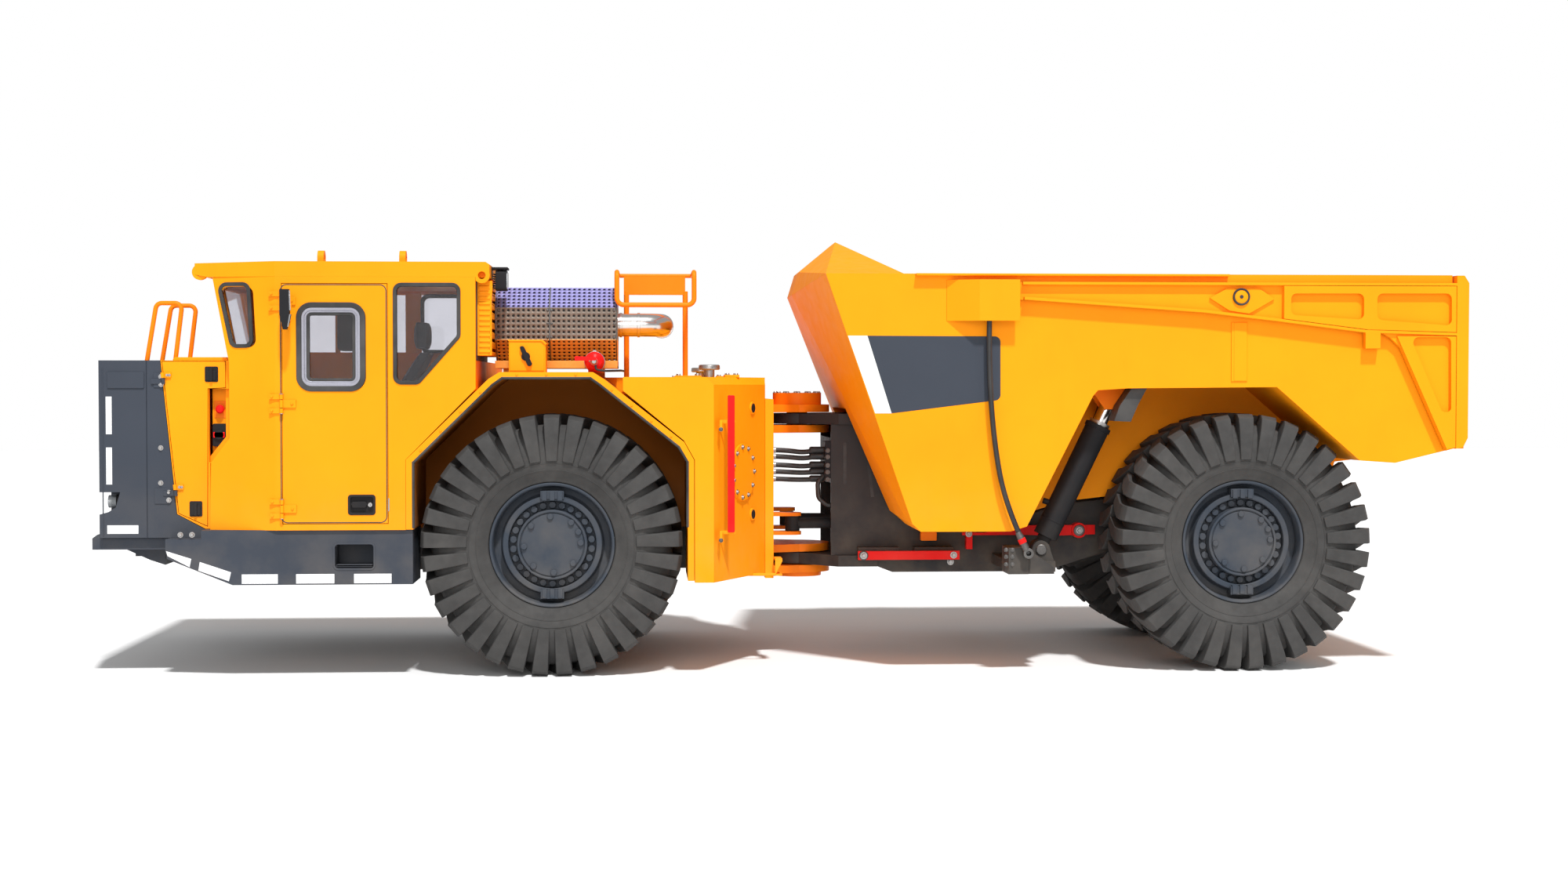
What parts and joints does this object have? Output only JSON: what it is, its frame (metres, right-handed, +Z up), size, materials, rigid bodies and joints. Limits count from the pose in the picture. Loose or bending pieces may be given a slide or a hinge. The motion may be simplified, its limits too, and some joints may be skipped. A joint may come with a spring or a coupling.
{
  "type": "articulated underground dump truck",
  "caption": "Low articulated mine haul truck with offset cab, tipping dump body with cable-lifted tailgate, hoist and steering cylinders and lugged tyres.",
  "frame": {"origin": "middle of the overall length and width, on the ground", "axes": "+Z up, +X towards the rear, the truck faces -X and its left side is -Y"},
  "size_m": [11.011, 3.705, 3.5294],
  "materials": {
    "black_paint": "satin",
    "body_yellow": "satin",
    "cab_plastic": "matte",
    "cast_iron": "rough",
    "chrome": "polished",
    "frame_grey": "satin",
    "glass": "polished",
    "hinge_orange": "satin",
    "hub_grey": "satin",
    "lamp_lens": "polished",
    "rubber": "matte",
    "seat_fabric": "matte",
    "signal_red": "satin",
    "steel": "brushed",
    "tower_grey": "satin",
    "tyre": "matte"
  },
  "bodies": {
    "front_frame": {"front_chassis": "tower_grey", "front_axle": "tower_grey", "front_bumper": "frame_grey", "front_shell": "frame_grey", "radiator_grille": "black_paint", "headlamps": "lamp_lens", "engine_block": "cast_iron", "engine_hood": "body_yellow", "side_sills": "frame_grey", "front_fenders": "body_yellow", "transmission_cover": "body_yellow", "side_tanks": "body_yellow", "hinge_forks": "hinge_orange", "cab_shell": "body_yellow", "cab_roof": "body_yellow", "cab_glass": "glass", "cab_seat": "seat_fabric", "cab_console": "cab_plastic", "cab_louvre": "body_yellow", "deck_rails": "hinge_orange", "silencer": "steel", "exhaust_guard": "hinge_orange", "isolator_box": "body_yellow", "fire_bottle": "signal_red"},
    "cab_door": {"cab_door": "body_yellow", "door_glass": "glass"},
    "service_hatch": {"service_hatch": "body_yellow"},
    "rear_frame": {"rear_chassis": "tower_grey", "rear_axle": "tower_grey", "hinge_lugs": "tower_grey", "hoist_feet": "tower_grey", "lock_bars": "signal_red", "hose_manifold": "black_paint", "crossing_hoses": "rubber"},
    "dump_body": {"bed_shell": "body_yellow", "bed_trough": "body_yellow", "bed_guards": "body_yellow", "hoist_clevises": "hinge_orange", "mud_flaps": "rubber"},
    "tailgate": {"tailgate": "body_yellow"},
    "wheel_front_left": {"tyre_front_left": "tyre", "rim_front_left": "hub_grey"},
    "wheel_front_right": {"tyre_front_right": "tyre", "rim_front_right": "hub_grey"},
    "wheel_rear_left": {"tyre_rear_left": "tyre", "rim_rear_left": "hub_grey"},
    "wheel_rear_right": {"tyre_rear_right": "tyre", "rim_rear_right": "hub_grey"},
    "hoist_tube_left": {"hoist_tube_left": "black_paint"},
    "hoist_stage_left": {"hoist_stage_left": "chrome"},
    "hoist_rod_left": {"hoist_rod_left": "chrome"},
    "pull_cable_left": {"pull_cable_left": "rubber"},
    "steer_tube_left": {"steer_tube_left": "black_paint"},
    "steer_rod_left": {"steer_rod_left": "chrome"},
    "hoist_tube_right": {"hoist_tube_right": "black_paint"},
    "hoist_stage_right": {"hoist_stage_right": "chrome"},
    "hoist_rod_right": {"hoist_rod_right": "chrome"},
    "pull_cable_right": {"pull_cable_right": "rubber"},
    "steer_tube_right": {"steer_tube_right": "black_paint"},
    "steer_rod_right": {"steer_rod_right": "chrome"}
  },
  "joints": [
    {"name": "front_left_wheel_spin", "type": "hinge", "parent": "front_frame", "child": "wheel_front_left", "pos_m": [-1.823, -1.22, 1.04], "axis": [0, 1, 0], "continuous": true},
    {"name": "front_right_wheel_spin", "type": "hinge", "parent": "front_frame", "child": "wheel_front_right", "pos_m": [-1.823, 1.22, 1.04], "axis": [0, 1, 0], "continuous": true},
    {"name": "rear_left_wheel_spin", "type": "hinge", "parent": "rear_frame", "child": "wheel_rear_left", "pos_m": [3.737, -1.22, 1.04], "axis": [0, 1, 0], "continuous": true},
    {"name": "rear_right_wheel_spin", "type": "hinge", "parent": "rear_frame", "child": "wheel_rear_right", "pos_m": [3.737, 1.22, 1.04], "axis": [0, 1, 0], "continuous": true},
    {"name": "steering", "type": "hinge", "parent": "front_frame", "child": "rear_frame", "pos_m": [0.23, 0, 1.4], "axis": [0, 0, 1], "range_deg": [-38, 38], "deforming": ["crossing_hoses"]},
    {"name": "tipping", "type": "hinge", "parent": "rear_frame", "child": "dump_body", "pos_m": [4.7, 0, 1.5], "axis": [0, 1, 0], "range_deg": [0, 55]},
    {"name": "tailgate_swing", "type": "hinge", "parent": "dump_body", "child": "tailgate", "pos_m": [3.66, 0, 3.01], "axis": [0, 1, 0], "range_deg": [-79.52, 0]},
    {"name": "cab_door_swing", "type": "hinge", "parent": "front_frame", "child": "cab_door", "pos_m": [-3.91, -1.72, 2.16], "axis": [0, 0, -1], "range_deg": [0, 90]},
    {"name": "service_hatch_swing", "type": "hinge", "parent": "front_frame", "child": "service_hatch", "pos_m": [-4.8151, -1.52, 1.93], "axis": [0.102, 0, -0.9948], "range_deg": [0, 100]},
    {"name": "hoist_tube_swing_left", "type": "hinge", "parent": "rear_frame", "child": "hoist_tube_left", "pos_m": [2.12, -1.3, 0.97], "axis": [0, 1, 0], "range_deg": [0, 12.03]},
    {"name": "hoist_stage_slide_left", "type": "slide", "parent": "hoist_tube_left", "child": "hoist_stage_left", "axis": [0.4352, 0, 0.9003], "range_m": [0, 0.9494]},
    {"name": "hoist_rod_slide_left", "type": "slide", "parent": "hoist_stage_left", "child": "hoist_rod_left", "axis": [0.4352, 0, 0.9003], "range_m": [0, 0.9494]},
    {"name": "pull_cable_swing_left", "type": "hinge", "parent": "rear_frame", "child": "pull_cable_left", "pos_m": [1.95, -1.765, 0.97], "axis": [0, 1, 0], "range_deg": [0, 54.9]},
    {"name": "steer_tube_swing_left", "type": "hinge", "parent": "rear_frame", "child": "steer_tube_left", "pos_m": [1.1, -0.3, 1.13], "axis": [0, 0, 1], "range_deg": [-2.66, 2.66]},
    {"name": "steer_rod_slide_left", "type": "slide", "parent": "steer_tube_left", "child": "steer_rod_left", "axis": [-0.9964, -0.0852, 0], "range_m": [-0.2342, 0.2342]},
    {"name": "hoist_tube_swing_right", "type": "hinge", "parent": "rear_frame", "child": "hoist_tube_right", "pos_m": [2.12, 1.3, 0.97], "axis": [0, 1, 0], "range_deg": [0, 12.03]},
    {"name": "hoist_stage_slide_right", "type": "slide", "parent": "hoist_tube_right", "child": "hoist_stage_right", "axis": [0.4352, 0, 0.9003], "range_m": [0, 0.9494]},
    {"name": "hoist_rod_slide_right", "type": "slide", "parent": "hoist_stage_right", "child": "hoist_rod_right", "axis": [0.4352, 0, 0.9003], "range_m": [0, 0.9494]},
    {"name": "pull_cable_swing_right", "type": "hinge", "parent": "rear_frame", "child": "pull_cable_right", "pos_m": [1.95, 1.765, 0.97], "axis": [0, 1, 0], "range_deg": [0, 54.9]},
    {"name": "steer_tube_swing_right", "type": "hinge", "parent": "rear_frame", "child": "steer_tube_right", "pos_m": [1.1, 0.3, 1.13], "axis": [0, 0, 1], "range_deg": [-2.66, 2.66]},
    {"name": "steer_rod_slide_right", "type": "slide", "parent": "steer_tube_right", "child": "steer_rod_right", "axis": [-0.9964, 0.0852, 0], "range_m": [-0.2342, 0.2342]}
  ],
  "couplings": [
    {"joint": "tailgate_swing", "follows": "tipping", "ratio": -1.4456},
    {"joint": "hoist_tube_swing_left", "follows": "tipping", "ratio": 0.21866},
    {"joint": "hoist_stage_slide_left", "follows": "tipping", "m_per_rad": 0.98887},
    {"joint": "hoist_rod_slide_left", "follows": "tipping", "m_per_rad": 0.98887},
    {"joint": "pull_cable_swing_left", "follows": "tipping", "ratio": 0.99815},
    {"joint": "steer_tube_swing_left", "follows": "steering", "ratio": -0.06971},
    {"joint": "steer_rod_slide_left", "follows": "steering", "m_per_rad": 0.35243},
    {"joint": "hoist_tube_swing_right", "follows": "tipping", "ratio": 0.21866},
    {"joint": "hoist_stage_slide_right", "follows": "tipping", "m_per_rad": 0.98887},
    {"joint": "hoist_rod_slide_right", "follows": "tipping", "m_per_rad": 0.98887},
    {"joint": "pull_cable_swing_right", "follows": "tipping", "ratio": 0.99815},
    {"joint": "steer_tube_swing_right", "follows": "steering", "ratio": -0.06971},
    {"joint": "steer_rod_slide_right", "follows": "steering", "m_per_rad": -0.35243}
  ]
}
